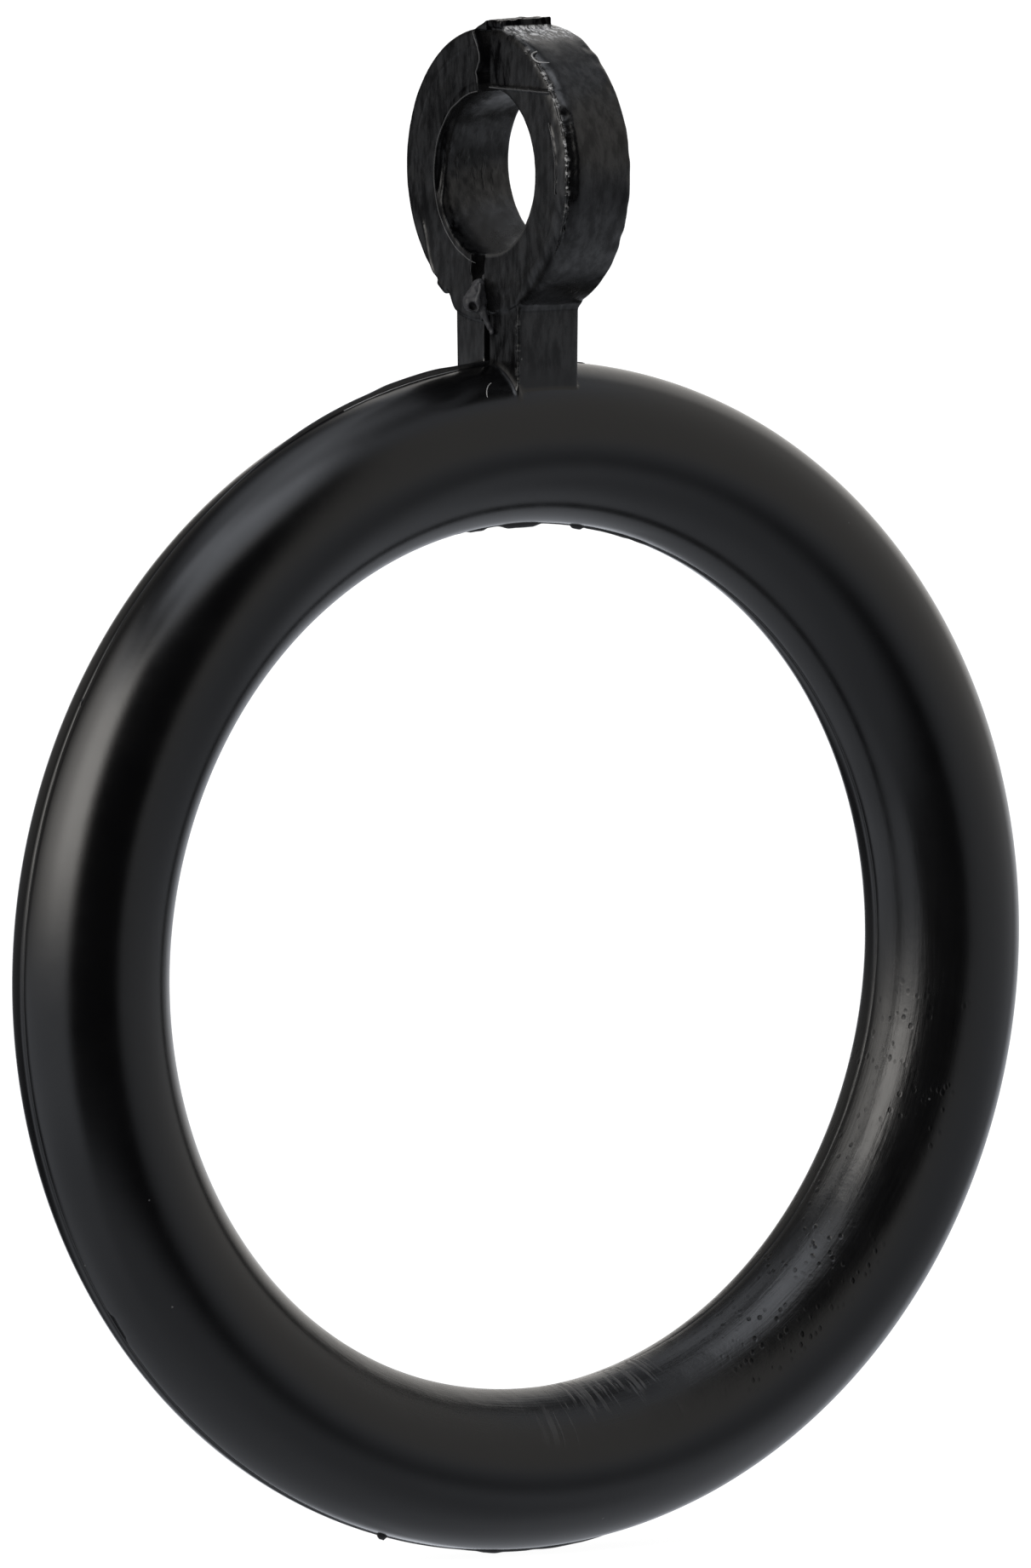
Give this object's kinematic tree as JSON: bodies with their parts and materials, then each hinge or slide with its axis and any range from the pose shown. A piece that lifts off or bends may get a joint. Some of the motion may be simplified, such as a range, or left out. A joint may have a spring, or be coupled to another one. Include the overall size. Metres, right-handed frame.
{
  "type": "curtain ring",
  "caption": "Round plastic curtain ring for a pole, welded from hollow halves, with a fixed eyelet on a short stem for a curtain hook.",
  "frame": {"origin": "centre of the ring, on the axis of the pole that it slides on", "axes": "+Z from the ring's centre up to the eyelet, +Y along the pole towards the back half, +X along the eyelet's bore"},
  "size_m": [0.052, 0.0124, 0.067],
  "materials": {
    "black_plastic": "semi-gloss moulded black, with flow marks and light scuffs",
    "weld": "dull black where the plastic was melted and squeezed out"
  },
  "bodies": {
    "root": {"front_half": "black_plastic", "back_half": "black_plastic", "outer_weld_bead": "weld", "inner_weld_bead": "weld", "stem_weld_bead": "weld", "eyelet_top_weld_bead": "weld"}
  },
  "joints": []
}
